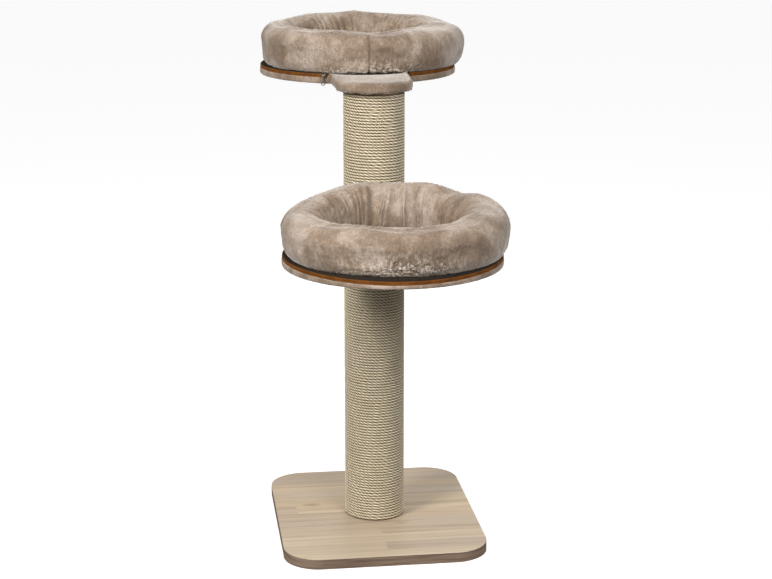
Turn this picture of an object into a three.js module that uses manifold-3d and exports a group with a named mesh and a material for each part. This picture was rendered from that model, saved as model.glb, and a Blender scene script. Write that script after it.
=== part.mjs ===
// Cat tree: one thick sisal post in two lengths, with two zipped nest beds.
// Millimetres, +Z up. The origin is on the post's axis, where the base board meets the floor.
// The lower bed reaches towards -Y (the front), the upper bed towards +Y (the back).
import * as THREE from 'three';
import { mergeVertices } from 'three/addons/utils/BufferGeometryUtils.js';
import Module from 'manifold-3d';

// ---- Driving dimensions ---------------------------------------------------------------------

const GAP = 0.3; // left between any two pieces that rest on or fit into each other

// Base board
const BASE_WIDTH = 500; // along X
const BASE_DEPTH = 600; // along Y
const BASE_THICKNESS = 25;
const BASE_CORNER_RADIUS = 88;

// Posts: a cardboard tube, a plug in each end, and sisal rope wound round it
const POST_DIAMETER = 150; // over the rope
const ROPE_DIAMETER = 7;
const TUBE_WALL = 6;
const PLUG_THICKNESS = 22;
const LOWER_POST_LENGTH = 735; // base board to lower bed
const UPPER_POST_LENGTH = 324; // lower bed to upper bed
const ROPE_END_MARGIN = 1; // bare tube at each end of a wrap

// Fixings: M10 bolts, a stud, and a flanged insert in every plug
const ROD_DIAMETER = 10;
const ROD_CLEARANCE = 0.8; // radial, where a rod passes through board or plush
const ROD_BEYOND_PLUG = 4;
const HEAD_ACROSS_FLATS = 17;
const HEAD_HEIGHT = 6.4;
const WASHER_DIAMETER = 30;
const WASHER_THICKNESS = 2.5;
const SINK_CLEARANCE = 2; // radial, round a washer in its counterbore
const SINK_COVER = 0.6; // how far a sunk head stays below the surface
const INSERT_BARREL_RADIUS = 7.5;
const INSERT_FLANGE_RADIUS = 13;
const INSERT_FLANGE_THICKNESS = 2;

// Bed board: a round disc with a round-ended arm that the post clamps
const BOARD_THICKNESS = 18;
const DISC_RADIUS = 249;
const ARM_BEYOND_POST = 15; // how far the arm's round end stands out from the post
const ARM_FILLET = 10; // where the arm meets the disc
const NEST_TO_POST = 2; // clear width between a bolster and the post

// Plush cover of the board
const COVER_SKIN = 3.7;

// Zip between the cover and the nest
const TAPE_THICKNESS = 2;
const TAPE_STANDOFF = 0.8; // from the edge of the nest's panel
const TAPE_BAND = 4.2; // visible height of each tape
const ZIP_SINK = 1; // from the top of the nest's panel down to the top of the zip
const TAPE_END_MARGIN = 5.6; // along the rim, from the arm's fillet to each end of the zip
const ARM_PLUSH_CLEARANCE = 1; // from the disc's rim to the edge of the plush on top of the arm

// Slider and pull
const SLIDER_LENGTH = 11; // along the zip
const SLIDER_HEIGHT = 8.6;
const SLIDER_BODY = 4; // how far the body stands out from the tapes
const SLIDER_PARK = 2.4; // between a parked slider and the end of the zip
const LUG_THICKNESS = 1.4;
const LUG_HEIGHT = 4.2;
const LUG_BEYOND_BAR = 0.8;
const LUG_SPACING = 4.4; // clear width between the two lugs
const BAR_DIAMETER = 1.6;
const EYE_WALL = 0.9; // of the pull's eye, round the bar
const PULL_WIDTH = 3.4;
const PULL_THICKNESS = 1.3;
const PULL_SHANK = 18; // eye centre to ring centre
const PULL_RING_RADIUS = 5.9;
const PULL_RING_HOLE_RADIUS = 3.9;

// Nest: base panel, stuffed bolster ring, floor pad
const PANEL_THICKNESS = 2.7;
const BOLSTER_OVERHANG = 12; // beyond the disc, at its widest
const BOLSTER_WIDTH = 108; // radial
const BOLSTER_HEIGHT = 109;
const FLOOR_PAD_THICKNESS = 26;
const FLOOR_PAD_CLEARANCE = 1.5; // radial, to the bolster

// ---- Sizes that follow ----------------------------------------------------------------------

const postRadius = POST_DIAMETER / 2;
const sleeveInnerRadius = postRadius - ROPE_DIAMETER;
const tubeRadius = sleeveInnerRadius - GAP;
const tubeInnerRadius = tubeRadius - TUBE_WALL;
const plugRadius = tubeInnerRadius - GAP;
const rodRadius = ROD_DIAMETER / 2;
const rodHoleRadius = rodRadius + ROD_CLEARANCE;
const sinkRadius = WASHER_DIAMETER / 2 + SINK_CLEARANCE;
const sinkDepth = WASHER_THICKNESS + HEAD_HEIGHT + 2 * GAP + SINK_COVER;

const armRadius = postRadius + ARM_BEYOND_POST;
const nestRadius = DISC_RADIUS + BOLSTER_OVERHANG;
const bedReach = postRadius + NEST_TO_POST + nestRadius; // post axis to disc centre
const coverThickness = COVER_SKIN + GAP; // skin and the gap to the board inside it
const bedThickness = BOARD_THICKNESS + 2 * coverThickness;
const boardBottom = coverThickness; // heights here are above the underside of a bed
const boardTop = boardBottom + BOARD_THICKNESS;
const panelBottom = boardTop + GAP;
const panelTop = panelBottom + PANEL_THICKNESS;
const nestBottom = panelTop + GAP;
const upperTapeTop = panelTop - ZIP_SINK;
const upperTapeBottom = upperTapeTop - TAPE_BAND;
const lowerTapeTop = upperTapeBottom - GAP;
const lowerTapeBottom = lowerTapeTop - TAPE_BAND;
const rimHeight = lowerTapeBottom - GAP; // of the plush strip round the disc, below the zip
const panelRadius = DISC_RADIUS + GAP;
const tapeInnerRadius = panelRadius + TAPE_STANDOFF;
const tapeOuterRadius = tapeInnerRadius + TAPE_THICKNESS;
const sliderInnerRadius = tapeOuterRadius + GAP;
const sliderFace = sliderInnerRadius + SLIDER_BODY;
const eyeHoleRadius = BAR_DIAMETER / 2 + GAP;
const eyeRadius = eyeHoleRadius + EYE_WALL;
const barRadius = sliderFace + GAP + eyeRadius;
const zipMiddle = (lowerTapeTop + upperTapeBottom) / 2;
const bolsterCentreRadius = nestRadius - BOLSTER_WIDTH / 2;
const bolsterInnerRadius = nestRadius - BOLSTER_WIDTH;
// Angles round the disc, from the arm's middle line
const filletAngle = Math.asin((armRadius + ARM_FILLET) / (DISC_RADIUS + ARM_FILLET));
const tapeEndAngle = filletAngle + TAPE_END_MARGIN / tapeOuterRadius;
const sliderEndAngle = tapeEndAngle + (SLIDER_LENGTH / 2 + SLIDER_PARK) / tapeOuterRadius;

const lowerPostBottom = BASE_THICKNESS;
const lowerBedBottom = lowerPostBottom + LOWER_POST_LENGTH;
const upperPostBottom = lowerBedBottom + bedThickness;
const upperBedBottom = upperPostBottom + UPPER_POST_LENGTH;

const ROUND = 40; // segments round a turned piece
const FINE_ROUND = 96; // segments round the nest's panel and the space for it
const SMALL_ROUND = 16; // segments round a rod
const ARC = 18; // curve segments of an extruded outline
const TAPE_ARC = 32; // and of a zip tape, which lies close round the panel

// ---- Making solids --------------------------------------------------------------------------

const wasm = await Module();
wasm.setup();

// A closed three.js geometry as a solid that can be cut and joined.
function solid(geometry) {
  const bare = geometry.clone();
  for (const name of ['normal', 'uv', 'uv1']) bare.deleteAttribute(name);
  const merged = mergeVertices(bare, 1e-4);
  const vertProperties = new Float32Array(merged.attributes.position.array);
  const triVerts = new Uint32Array(merged.index.array);
  const made = new wasm.Manifold(new wasm.Mesh({ numProp: 3, vertProperties, triVerts }));
  if (made.volume() >= 0) return made;
  for (let i = 0; i < triVerts.length; i += 3) {
    [triVerts[i + 1], triVerts[i + 2]] = [triVerts[i + 2], triVerts[i + 1]];
  }
  return new wasm.Manifold(new wasm.Mesh({ numProp: 3, vertProperties, triVerts }));
}

function geometryOf(made) {
  const { numProp, vertProperties, triVerts } = made.getMesh();
  const positions = new Float32Array((vertProperties.length / numProp) * 3);
  for (let i = 0; i * numProp < vertProperties.length; i += 1) {
    positions.set(vertProperties.subarray(i * numProp, i * numProp + 3), i * 3);
  }
  const geometry = new THREE.BufferGeometry();
  geometry.setAttribute('position', new THREE.BufferAttribute(positions, 3));
  geometry.setIndex(new THREE.BufferAttribute(new Uint32Array(triVerts), 1));
  return geometry;
}

// A profile of [radius, height] points turned about Z. It starts and ends on the axis, or closes.
function turned(profile, segments = ROUND) {
  const points = profile.map(([radius, height]) => new THREE.Vector2(radius, height));
  return solid(new THREE.LatheGeometry(points, segments).rotateX(Math.PI / 2));
}

function cylinder(radius, bottom, top, segments = ROUND) {
  return turned([[0, bottom], [radius, bottom], [radius, top], [0, top]], segments);
}

function ring(innerRadius, outerRadius, bottom, top, segments = ROUND) {
  const profile = [[innerRadius, bottom], [outerRadius, bottom], [outerRadius, top], [innerRadius, top]];
  return turned([...profile, profile[0]], segments);
}

function block(x0, x1, y0, y1, z0, z1) {
  const geometry = new THREE.BoxGeometry(x1 - x0, y1 - y0, z1 - z0);
  return solid(geometry.translate((x0 + x1) / 2, (y0 + y1) / 2, (z0 + z1) / 2));
}

function extruded(shape, bottom, top, curveSegments = ARC) {
  const settings = { depth: top - bottom, bevelEnabled: false, curveSegments };
  return solid(new THREE.ExtrudeGeometry(shape, settings).translate(0, 0, bottom));
}

// A round bar lying along Y.
function barAlongY(radius, length, x, z) {
  const geometry = new THREE.CylinderGeometry(radius, radius, length, SMALL_ROUND);
  return solid(geometry.translate(x, 0, z));
}

// ---- Materials ------------------------------------------------------------------------------

const material = (color, roughness, metalness = 0) =>
  new THREE.MeshStandardMaterial({ color, roughness, metalness });

const finishes = {
  woodDecor: () => material(0xc9b795, 0.55),
  sisal: () => material(0xd8ca9a, 0.95),
  cardboard: () => material(0xa98a62, 0.9),
  plywood: () => material(0xc8a77c, 0.7),
  plush: () => material(0xa99585, 0.95),
  zipTape: () => material(0x8c4b0c, 0.6),
  steel: () => material(0x9a9a98, 0.35, 1),
};

const group = new THREE.Group();

function addPiece(parent, name, made, finish) {
  const mesh = new THREE.Mesh(geometryOf(made), finish());
  mesh.name = name;
  parent.add(mesh);
  return mesh;
}

// ---- Base -----------------------------------------------------------------------------------

function roundedRectangle(width, depth, radius) {
  const x = width / 2 - radius;
  const y = depth / 2 - radius;
  const shape = new THREE.Shape();
  shape.absarc(x, y, radius, 0, Math.PI / 2, false);
  shape.absarc(-x, y, radius, Math.PI / 2, Math.PI, false);
  shape.absarc(-x, -y, radius, Math.PI, 1.5 * Math.PI, false);
  shape.absarc(x, -y, radius, 1.5 * Math.PI, 2 * Math.PI, false);
  return shape;
}

function baseBoard() {
  const outline = roundedRectangle(BASE_WIDTH, BASE_DEPTH, BASE_CORNER_RADIUS);
  return extruded(outline, 0, BASE_THICKNESS)
    .subtract(cylinder(rodHoleRadius, -1, BASE_THICKNESS + 1))
    .subtract(cylinder(sinkRadius, -1, sinkDepth));
}

// A hex bolt that points up: the face under its head is at height 0.
function hexBolt(length) {
  const head = new THREE.CylinderGeometry(1, 1, HEAD_HEIGHT, 6).rotateX(Math.PI / 2);
  const cornerRadius = HEAD_ACROSS_FLATS / 2 / Math.cos(Math.PI / 6);
  head.scale(cornerRadius, cornerRadius, 1).translate(0, 0, -HEAD_HEIGHT / 2);
  return solid(head).add(cylinder(rodRadius, -HEAD_HEIGHT / 2, length, SMALL_ROUND));
}

function washer() {
  return ring(rodRadius + GAP, WASHER_DIAMETER / 2, 0, WASHER_THICKNESS, 2 * SMALL_ROUND);
}

function addBase() {
  addPiece(group, 'base_board', baseBoard(), finishes.woodDecor);
  const washerBottom = sinkDepth - GAP - WASHER_THICKNESS;
  const boltSeat = washerBottom - GAP;
  const boltTop = lowerPostBottom + GAP + PLUG_THICKNESS + ROD_BEYOND_PLUG;
  addPiece(group, 'base_washer', washer(), finishes.steel).position.z = washerBottom;
  addPiece(group, 'base_bolt', hexBolt(boltTop - boltSeat), finishes.steel).position.z = boltSeat;
}

// ---- Posts ----------------------------------------------------------------------------------

function plug() {
  return ring(INSERT_BARREL_RADIUS + GAP, plugRadius, 0, PLUG_THICKNESS);
}

// A threaded insert for a plug: its flange lies on the plug's inner face, above the barrel.
function flangedInsert() {
  const bore = rodRadius + GAP;
  const flangeBottom = PLUG_THICKNESS + GAP;
  const flangeTop = flangeBottom + INSERT_FLANGE_THICKNESS;
  const profile = [
    [bore, GAP],
    [INSERT_BARREL_RADIUS, GAP],
    [INSERT_BARREL_RADIUS, flangeBottom],
    [INSERT_FLANGE_RADIUS, flangeBottom],
    [INSERT_FLANGE_RADIUS, flangeTop],
    [bore, flangeTop],
    [bore, GAP],
  ];
  return turned(profile, 2 * SMALL_ROUND);
}

function addPost(name, bottom, length) {
  const post = new THREE.Group();
  post.position.z = bottom;
  group.add(post);
  const top = length - GAP;
  const wrapTop = top - ROPE_END_MARGIN;
  const wrap = ring(sleeveInnerRadius, postRadius, GAP + ROPE_END_MARGIN, wrapTop);
  addPiece(post, `${name}_sisal`, wrap, finishes.sisal);
  addPiece(post, `${name}_tube`, ring(tubeInnerRadius, tubeRadius, GAP, top), finishes.cardboard);
  for (const [end, height, turn] of [['bottom', GAP, 0], ['top', top, Math.PI]]) {
    const pieces = new THREE.Group();
    pieces.position.z = height;
    pieces.rotation.x = turn;
    post.add(pieces);
    addPiece(pieces, `${name}_${end}_plug`, plug(), finishes.plywood);
    addPiece(pieces, `${name}_${end}_insert`, flangedInsert(), finishes.steel);
  }
}

// The stud joins the two posts through the lower bed's arm.
function addStud() {
  const grip = GAP + PLUG_THICKNESS + ROD_BEYOND_PLUG;
  const stud = cylinder(rodRadius, lowerBedBottom - grip, upperPostBottom + grip, SMALL_ROUND);
  addPiece(group, 'post_stud', stud, finishes.steel);
}

// ---- Beds -----------------------------------------------------------------------------------

// A bed's own frame has the post axis at its origin and the disc towards -Y.
// The outline of the board, grown by a margin all round.
function keyhole(margin) {
  const disc = DISC_RADIUS + margin;
  const arm = armRadius + margin;
  const fillet = ARM_FILLET - margin;
  const x = arm + fillet;
  const rise = Math.sqrt((disc + fillet) ** 2 - x ** 2);
  const y = rise - bedReach;
  const turn = Math.atan2(rise, x);
  const shape = new THREE.Shape();
  shape.absarc(0, -bedReach, disc, Math.PI - turn, 2 * Math.PI + turn, false);
  shape.absarc(x, y, fillet, Math.PI + turn, Math.PI, true);
  shape.absarc(0, 0, arm, 0, Math.PI, false);
  shape.absarc(-x, y, fillet, 0, -turn, true);
  return shape;
}

const overDisc = (made) => made.translate([0, -bedReach, 0]);

function bedBoard(boltIsSunk) {
  let board = extruded(keyhole(0), boardBottom, boardTop);
  board = board.subtract(cylinder(rodHoleRadius, 0, bedThickness));
  if (!boltIsSunk) return board;
  return board.subtract(cylinder(sinkRadius, boardTop - sinkDepth, bedThickness));
}

// Plush under the board and up its rim, and all round the arm. The disc's top stays open.
function boardCover(topHole) {
  const nestSpace = DISC_RADIUS + coverThickness + ARM_PLUSH_CLEARANCE;
  const holeTop = topHole ? bedThickness + 1 : boardTop;
  return extruded(keyhole(coverThickness), 0, bedThickness)
    .subtract(extruded(keyhole(GAP), COVER_SKIN, boardTop + GAP))
    .subtract(overDisc(cylinder(nestSpace, rimHeight, bedThickness + 1, FINE_ROUND)))
    .subtract(cylinder(rodHoleRadius, -1, holeTop));
}

// One tape of the zip: an open ring that ends at each side of the arm.
function zipTape(bottom, top) {
  const start = Math.PI / 2 + tapeEndAngle;
  const finish = 2.5 * Math.PI - tapeEndAngle;
  const shape = new THREE.Shape();
  shape.absarc(0, 0, tapeOuterRadius, start, finish, false);
  shape.absarc(0, 0, tapeInnerRadius, finish, start, true);
  return overDisc(extruded(shape, bottom, top, TAPE_ARC));
}

// The slider in its own frame: X points out of the disc, Y runs along the zip.
function zipSlider() {
  const half = SLIDER_LENGTH / 2;
  const lugInner = LUG_SPACING / 2;
  const lugOuter = lugInner + LUG_THICKNESS;
  const lugTip = barRadius + BAR_DIAMETER / 2 + LUG_BEYOND_BAR;
  const height = SLIDER_HEIGHT / 2;
  const body = block(sliderInnerRadius, sliderFace, -half, half, -height, height);
  const lug = (y0, y1) => block(sliderFace - 1, lugTip, y0, y1, -LUG_HEIGHT / 2, LUG_HEIGHT / 2);
  return body
    .add(lug(lugInner, lugOuter))
    .add(lug(-lugOuter, -lugInner))
    .add(barAlongY(BAR_DIAMETER / 2, LUG_SPACING + LUG_THICKNESS, barRadius, 0));
}

// The pull hangs from the slider's bar: an eye, a shank and a ring.
function zipPull() {
  const half = PULL_THICKNESS / 2;
  const hoop = new THREE.Shape();
  hoop.absarc(0, -PULL_SHANK, PULL_RING_RADIUS, 0, 2 * Math.PI, false);
  const hole = new THREE.Shape();
  hole.absarc(0, -PULL_SHANK, PULL_RING_HOLE_RADIUS, 0, 2 * Math.PI, false);
  const upright = (shape, thickness) => {
    const settings = { depth: thickness, bevelEnabled: false, curveSegments: SMALL_ROUND / 2 };
    const geometry = new THREE.ExtrudeGeometry(shape, settings).translate(0, 0, -thickness / 2);
    return solid(geometry.rotateX(Math.PI / 2).rotateZ(Math.PI / 2));
  };
  const shankEnd = -PULL_SHANK + (PULL_RING_RADIUS + PULL_RING_HOLE_RADIUS) / 2;
  return block(-half, half, -PULL_WIDTH / 2, PULL_WIDTH / 2, shankEnd, 0)
    .add(barAlongY(eyeRadius, PULL_WIDTH, 0, 0))
    .add(upright(hoop, PULL_THICKNESS))
    .subtract(upright(hole, PULL_THICKNESS + 1))
    .subtract(barAlongY(eyeHoleRadius, PULL_WIDTH + 1, 0, 0))
    .translate([barRadius, 0, 0]);
}

// A rounded section whose lower half is fuller than its upper half, turned about the disc's axis.
function bolster() {
  const a = BOLSTER_WIDTH / 2;
  const b = BOLSTER_HEIGHT / 2;
  const steps = 20;
  const power = (value, n) => Math.sign(value) * Math.abs(value) ** (2 / n);
  const profile = [];
  for (let i = 0; i <= steps; i += 1) {
    const angle = (2 * Math.PI * (i % steps)) / steps - Math.PI;
    const fullness = Math.sin(angle) < 0 ? 4.6 : 2.25;
    const radius = bolsterCentreRadius + a * power(Math.cos(angle), fullness);
    profile.push([radius, nestBottom + b + b * power(Math.sin(angle), fullness)]);
  }
  return overDisc(turned(profile));
}

// The pad's top edge is rounded over a third of its thickness.
function floorPad() {
  const radius = bolsterInnerRadius - FLOOR_PAD_CLEARANCE;
  const top = nestBottom + FLOOR_PAD_THICKNESS;
  const round = FLOOR_PAD_THICKNESS / 3;
  const profile = [[0, nestBottom], [radius, nestBottom], [radius, top - round]];
  for (let i = 1; i <= 4; i += 1) {
    const angle = (i * Math.PI) / 8;
    profile.push([radius - round * (1 - Math.cos(angle)), top - round * (1 - Math.sin(angle))]);
  }
  return overDisc(turned([...profile, [0, top]]));
}

function addBed(name, bottom, turn, isTopBed) {
  const bed = new THREE.Group();
  bed.position.z = bottom;
  bed.rotation.z = turn;
  group.add(bed);
  addPiece(bed, `${name}_bed_board`, bedBoard(isTopBed), finishes.plywood);
  addPiece(bed, `${name}_bed_cover`, boardCover(!isTopBed), finishes.plush);
  const lowerTape = zipTape(lowerTapeBottom, lowerTapeTop);
  const upperTape = zipTape(upperTapeBottom, upperTapeTop);
  addPiece(bed, `${name}_bed_zip_tape`, lowerTape, finishes.zipTape);
  addPiece(bed, `${name}_nest_zip_tape`, upperTape, finishes.zipTape);
  const panel = overDisc(cylinder(panelRadius, panelBottom, panelTop, FINE_ROUND));
  addPiece(bed, `${name}_nest_panel`, panel, finishes.plush);
  addPiece(bed, `${name}_nest_bolster`, bolster(), finishes.plush);
  addPiece(bed, `${name}_nest_floor_pad`, floorPad(), finishes.plush);
  const zip = new THREE.Group();
  zip.position.set(0, -bedReach, zipMiddle);
  zip.rotation.z = Math.PI / 2 - sliderEndAngle;
  bed.add(zip);
  addPiece(zip, `${name}_zip_slider`, zipSlider(), finishes.steel);
  addPiece(zip, `${name}_zip_pull`, zipPull(), finishes.steel);
}

// The bolt that holds the upper bed down, head upwards, sunk under the plush of its arm.
function addTopFixing() {
  const sinkFloor = upperBedBottom + boardTop - sinkDepth;
  const seat = sinkFloor + 2 * GAP + WASHER_THICKNESS;
  const boltEnd = upperBedBottom - GAP - PLUG_THICKNESS - ROD_BEYOND_PLUG;
  addPiece(group, 'top_washer', washer(), finishes.steel).position.z = sinkFloor + GAP;
  const bolt = addPiece(group, 'top_bolt', hexBolt(seat - boltEnd), finishes.steel);
  bolt.position.z = seat;
  bolt.rotation.x = Math.PI;
}

addBase();
addPost('lower_post', lowerPostBottom, LOWER_POST_LENGTH);
addStud();
addPost('upper_post', upperPostBottom, UPPER_POST_LENGTH);
addBed('lower', lowerBedBottom, 0, false);
addBed('upper', upperBedBottom, Math.PI, true);
addTopFixing();

export default group;
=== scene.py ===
# %% [markdown]
# # A cat tree with two plush nests
#
# A thick post wound with sisal rope stands on a wooden board. Two round nests sit on keyhole-shaped
# boards that the post clamps by their arms. Each nest is a stuffed plush ring with a gathered inner
# wall, zipped to the plush cover of its board.
#
# The measured frame comes first. It gives every size and place, in metres with Z up, and it never
# moves. What is modelled here is what a hand would feel: rope, plush, zip teeth and soft edges.

# %% Load the frame
import math

import bmesh
import bpy
import numpy as np
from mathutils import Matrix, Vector


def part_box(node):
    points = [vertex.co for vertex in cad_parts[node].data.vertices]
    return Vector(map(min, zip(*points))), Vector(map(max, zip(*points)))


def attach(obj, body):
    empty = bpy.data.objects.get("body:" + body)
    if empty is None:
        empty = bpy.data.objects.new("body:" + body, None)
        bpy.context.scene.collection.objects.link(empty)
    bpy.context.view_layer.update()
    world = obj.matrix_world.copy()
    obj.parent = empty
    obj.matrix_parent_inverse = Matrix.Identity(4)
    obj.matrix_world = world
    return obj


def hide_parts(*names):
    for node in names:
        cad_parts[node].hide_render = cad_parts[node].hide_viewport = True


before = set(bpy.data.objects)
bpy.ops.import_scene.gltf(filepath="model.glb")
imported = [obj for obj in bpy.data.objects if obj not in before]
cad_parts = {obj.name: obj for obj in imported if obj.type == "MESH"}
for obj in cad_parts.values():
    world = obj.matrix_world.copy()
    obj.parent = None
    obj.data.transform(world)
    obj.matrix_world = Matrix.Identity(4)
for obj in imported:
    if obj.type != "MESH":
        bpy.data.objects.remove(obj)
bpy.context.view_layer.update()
scene = bpy.context.scene
MM = 0.001

# %% [markdown]
# ## The camera and the studio
#
# A long lens from a little above keeps the post's sides nearly parallel, as product pictures do. A
# large soft lamp at the upper left front gives the shapes their shade. A weaker one at the right front
# fills the shadows, and a faint one behind keeps the far side readable.

# %% Camera
LENS = 81.1  # in mm, on a film 36 mm wide
EYE_DISTANCE = 4.185
EYE_HEIGHT = 1.685
EYE_ROUND = math.radians(7.2)  # how far it stands to the left of straight ahead
EYE_TURN = math.radians(7.6)
EYE_PITCH = math.radians(14.4)

camera = bpy.data.objects.new("camera", bpy.data.cameras.new("camera"))
scene.collection.objects.link(camera)
scene.camera = camera
camera.data.sensor_width = 36
camera.data.lens = LENS
camera.location = (
    -EYE_DISTANCE * math.sin(EYE_ROUND),
    -EYE_DISTANCE * math.cos(EYE_ROUND),
    EYE_HEIGHT,
)
camera.rotation_euler = (math.pi / 2 - EYE_PITCH, 0, -EYE_TURN)
print("camera", [round(x, 3) for x in camera.location])

# %% Studio
def soft_light(name, place, aim, width, watts, colour):
    """A square lamp of this width that looks at a point."""
    lamp = bpy.data.lights.new(name, "AREA")
    lamp.size = width
    lamp.energy = watts
    lamp.color = colour
    holder = bpy.data.objects.new(name, lamp)
    holder.location = place
    holder.rotation_euler = (Vector(aim) - Vector(place)).to_track_quat("-Z", "Y").to_euler()
    scene.collection.objects.link(holder)
    print(name, "lamp", watts, "W")


soft_light("key", (-2.5, -2.1, 2.9), (0, 0, 0.8), 1.1, 125, (1, 0.985, 0.96))
soft_light("fill", (0.9, -2.6, 2.3), (0, 0, 1.0), 1.3, 56, (0.97, 0.985, 1))
soft_light("back", (0.8, 2.9, 2.2), (0, 0, 0.8), 1.5, 14, (1, 1, 1))
scene.view_settings.view_transform = "Standard"

# %% [markdown]
# ## Writing node trees as sums
#
# Materials and Geometry Nodes are graphs, but most of what they say is arithmetic. One small class
# wraps an output socket, so `1 - mask * 0.5` adds the Math nodes by itself. Every other node comes
# from `add`, which takes the node's type, its settings and what goes into its sockets.

# %% The socket class
class Wire:
    """An output socket of a node tree that takes part in sums."""

    def __init__(self, tree, socket=None):
        self.tree, self.socket = tree, socket

    def add(self, kind, settings=None, inputs=None, output=0):
        """Adds a node, sets it up, fills its sockets, and gives one of its outputs."""
        node = self.tree.nodes.new(kind)
        for name, value in (settings or {}).items():
            if name == "stops":
                set_stops(node.color_ramp, value)
            else:
                setattr(node, name, value)
        for name, value in (inputs or {}).items():
            if isinstance(value, Wire):
                self.tree.links.new(value.socket, node.inputs[name])
            else:
                node.inputs[name].default_value = value
        return Wire(self.tree, node.outputs[output])

    def maths(self, operation, *values):
        inputs = dict(enumerate(values))
        return self.add("ShaderNodeMath", {"operation": operation}, inputs)

    def __add__(self, other):
        return self.maths("ADD", self, other)

    def __sub__(self, other):
        return self.maths("SUBTRACT", self, other)

    def __rsub__(self, other):
        return self.maths("SUBTRACT", other, self)

    def __mul__(self, other):
        return self.maths("MULTIPLY", self, other)

    __radd__ = __add__
    __rmul__ = __mul__

    def scaled(self, x, y, z):
        """A vector, times three numbers."""
        return self.add("ShaderNodeVectorMath", {"operation": "MULTIPLY"}, {0: self, 1: (x, y, z)})

    def shifted(self, other):
        """A vector, plus another."""
        return self.add("ShaderNodeVectorMath", {"operation": "ADD"}, {0: self, 1: other})

    def stretched(self, amount):
        """A vector, times one number that may change from place to place."""
        inputs = {0: self, "Scale": amount}
        return self.add("ShaderNodeVectorMath", {"operation": "SCALE"}, inputs)

    def axis(self, name):
        """One of a vector's three numbers."""
        return self.add("ShaderNodeSeparateXYZ", None, {0: self}, name)

    def size(self):
        """How far a number lies from zero."""
        return self.maths("ABSOLUTE", self)

    def clamped(self, low, high):
        """0 at low and below, 1 at high and above, and smooth between them."""
        settings = {"interpolation_type": "SMOOTHSTEP"}
        return self.add("ShaderNodeMapRange", settings, {0: self, 1: low, 2: high})

    def noise(self, scale, detail=2.0, roughness=0.5, distortion=0.0):
        inputs = {"Vector": self, "Scale": scale, "Detail": detail}
        inputs.update({"Roughness": roughness, "Distortion": distortion})
        return self.add("ShaderNodeTexNoise", None, inputs)


# %% Colour ramps and mixes
def set_stops(ramp, stops):
    """Gives a colour ramp these (position, colour) stops."""
    while len(ramp.elements) > 1:
        ramp.elements.remove(ramp.elements[-1])
    for i, (position, colour) in enumerate(stops):
        stop = ramp.elements[0] if i == 0 else ramp.elements.new(position)
        stop.position = position
        stop.color = (*colour, 1)


def ramp(share, stops):
    """A share from 0 to 1 turned into the colour of these stops."""
    return share.add("ShaderNodeValToRGB", {"stops": stops}, {0: share})


def mixed(share, first, second):
    """One colour turned into another by a share from 0 to 1."""
    colours = [c if isinstance(c, Wire) else (*c, 1) for c in (first, second)]
    inputs = {0: share, 6: colours[0], 7: colours[1]}
    return share.add("ShaderNodeMix", {"data_type": "RGBA"}, inputs, 2)


# %% [markdown]
# ## Materials
#
# Every finish is one Principled shader. A number that is the same all over goes straight into the
# shader's socket. What changes over the surface is a wire into its colour or roughness, or a relief
# that a Bump node turns into a normal. Patterns are read in the piece's own coordinates.

# %% The finish class
class Finish:
    """A new material: the wires that it starts from, and the sockets that it ends in."""

    def __init__(self, name, **constants):
        self.material = bpy.data.materials.new(name)
        self.material.use_nodes = True
        self.tree = self.material.node_tree
        self.shader = self.tree.nodes["Principled BSDF"]
        for socket, value in constants.items():
            self.shader.inputs[socket.replace("_", " ")].default_value = value
        self.place = Wire(self.tree).add("ShaderNodeTexCoord", output="Object")

    def attribute(self, name, output="Fac"):
        settings = {"attribute_name": name}
        return Wire(self.tree).add("ShaderNodeAttribute", settings, output=output)

    def facing(self, axis):
        """How far the surface faces along an axis of the piece, from -1 to 1."""
        return Wire(self.tree).add("ShaderNodeTexCoord", output="Normal").axis(axis)

    def side(self):
        """0 where the surface faces up or down, 1 on upright sides."""
        return 1 - self.facing("Z").size().clamped(0.35, 0.8)

    def wear(self, colour, roughness=None, *, relief, depth, strength):
        """Ends the tree: what changes over the surface goes into the shader."""
        inputs = {"Height": relief, "Distance": depth, "Strength": strength}
        ends = {"Base Color": colour, "Normal": relief.add("ShaderNodeBump", None, inputs)}
        if roughness:
            ends["Roughness"] = roughness
        for socket, wire in ends.items():
            self.tree.links.new(wire.socket, self.shader.inputs[socket])
        return self.material


# %% [markdown]
# ## Room and floor
#
# The room is a white sky over a dim ground, so undersides keep their shade. The floor only has to be
# pale and plain. It is a wide round disc with a wall at its rim, so that no horizon shows from a low
# angle. It sits a hair below the board's underside and glows a little, so it stays white far from the
# lamps. It is hidden from bounced light, or it would light the object from below.

# %% Room and floor
SKY, GROUND = 0.5, 0.12  # the brightness of the room above and below
FLOOR_RADIUS, WALL_HEIGHT, FLOOR_DROP = 40.0, 30.0, 0.2 * MM
FLOOR_SIDES = 64


def room():
    world = bpy.data.worlds.new("white_room")
    world.use_nodes = True
    scene.world = world
    wire = Wire(world.node_tree)
    height = wire.add("ShaderNodeTexCoord", output="Generated").axis("Z")
    light = height.clamped(-0.25, 0.15) * (SKY - GROUND) + GROUND
    background = world.node_tree.nodes["Background"]
    background.inputs["Color"].default_value = (1, 1, 1, 1)
    world.node_tree.links.new(light.socket, background.inputs["Strength"])


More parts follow.
